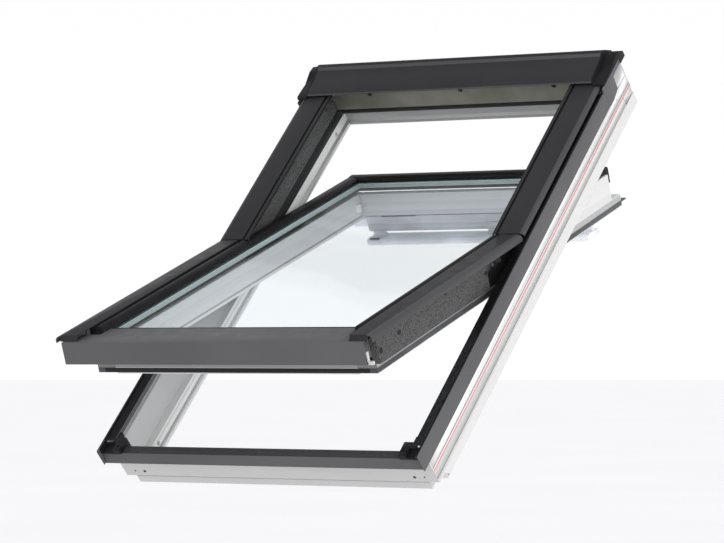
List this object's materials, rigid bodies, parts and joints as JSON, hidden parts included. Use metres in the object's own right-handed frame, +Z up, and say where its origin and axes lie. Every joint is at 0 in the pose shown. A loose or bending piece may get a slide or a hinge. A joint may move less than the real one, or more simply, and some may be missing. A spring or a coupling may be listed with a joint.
{
  "type": "roof skylight",
  "caption": "Centre-pivot roof skylight with white frame and sash, dark metal cladding and hood, double pane and control bar, shown tilted open.",
  "frame": {"origin": "centre of the room-side face of the sill, at the lower end of the window", "axes": "+X across the window to its right as seen from outside, +Z up, the window rises towards +Y at 45 degrees with its weather side facing -Y and up"},
  "size_m": [0.802, 1.1334, 0.9411],
  "materials": {
    "white_pu": "smooth lacquered moulding",
    "red_mark": "flat marking tape",
    "blue_mark": "flat marking tape",
    "grey_cladding": "matt lacquered aluminium, lit face lighter",
    "dark_cladding": "matt lacquered aluminium",
    "black_plastic": "moulded black plastic",
    "foam_liner": "speckled grey bead foam",
    "black_rubber": "soft gasket rubber",
    "head_strip": "satin beige grey",
    "zinc_steel": "zinc plated steel",
    "dark_screw": "dark screw heads",
    "edge_strip": "satin grey strip",
    "clear_glass": "clear double glazing",
    "spacer": "satin spacer bar",
    "bar_grey": "smooth light grey",
    "bolt_steel": "turned steel"
  },
  "bodies": {
    "frame": {"frame_sill": "white_pu", "frame_jamb_left": "white_pu", "frame_jamb_right": "white_pu", "frame_head": "white_pu", "marker_red": "red_mark", "marker_blue": "blue_mark", "sill_cladding": "grey_cladding", "jamb_cladding_left": "grey_cladding", "jamb_cladding_right": "grey_cladding", "corner_piece_left": "black_plastic", "corner_piece_right": "black_plastic", "frame_cover_left": "dark_cladding", "frame_cover_right": "dark_cladding", "frame_liner_left": "foam_liner", "frame_liner_right": "foam_liner", "frame_seal": "black_rubber", "head_strip": "head_strip", "hood": "dark_cladding", "hood_cap_left": "black_plastic", "hood_cap_right": "black_plastic", "head_side_plate_left": "grey_cladding", "head_side_plate_right": "grey_cladding", "frame_hinge_left": "zinc_steel", "frame_hinge_right": "zinc_steel", "frame_screws": "dark_screw"},
    "sash": {"sash_bottom_rail": "white_pu", "sash_top_rail": "white_pu", "sash_stile_left": "white_pu", "sash_stile_right": "white_pu", "edge_strip_left": "edge_strip", "edge_strip_right": "edge_strip", "edge_strip_top": "edge_strip", "edge_strip_bottom": "edge_strip", "outer_pane_glass": "clear_glass", "inner_pane_glass": "clear_glass", "pane_spacer": "spacer", "bead_left": "black_plastic", "bead_right": "black_plastic", "bead_top": "black_plastic", "bead_bottom": "black_plastic", "sash_front_cladding": "dark_cladding", "sash_cover_left": "dark_cladding", "sash_cover_right": "dark_cladding", "sash_liner_left": "foam_liner", "sash_liner_right": "foam_liner", "sash_hinge_left": "zinc_steel", "sash_hinge_right": "zinc_steel", "sash_screws": "black_plastic", "bottom_seal": "black_rubber", "bar_bracket_mounts": "bar_grey", "bolt_housing": "bar_grey", "corner_lugs": "white_pu"},
    "bar": {"vent_flap": "bar_grey", "control_bar": "bar_grey"},
    "bolt": {"barrel_bolt": "bolt_steel"}
  },
  "joints": [
    {"name": "sash_pivot", "type": "hinge", "parent": "frame", "child": "sash", "pos_m": [0, 0.3182, 0.50205], "axis": [-1, 0, 0], "range_deg": [-25, 20]},
    {"name": "control_bar", "type": "hinge", "parent": "sash", "child": "bar", "pos_m": [0, 0.8219, 0.58003], "axis": [1, 0, 0], "range_deg": [0, 20]},
    {"name": "barrel_bolt", "type": "slide", "parent": "sash", "child": "bolt", "axis": [-1, 0, 0], "range_m": [0, 0.014]}
  ]
}
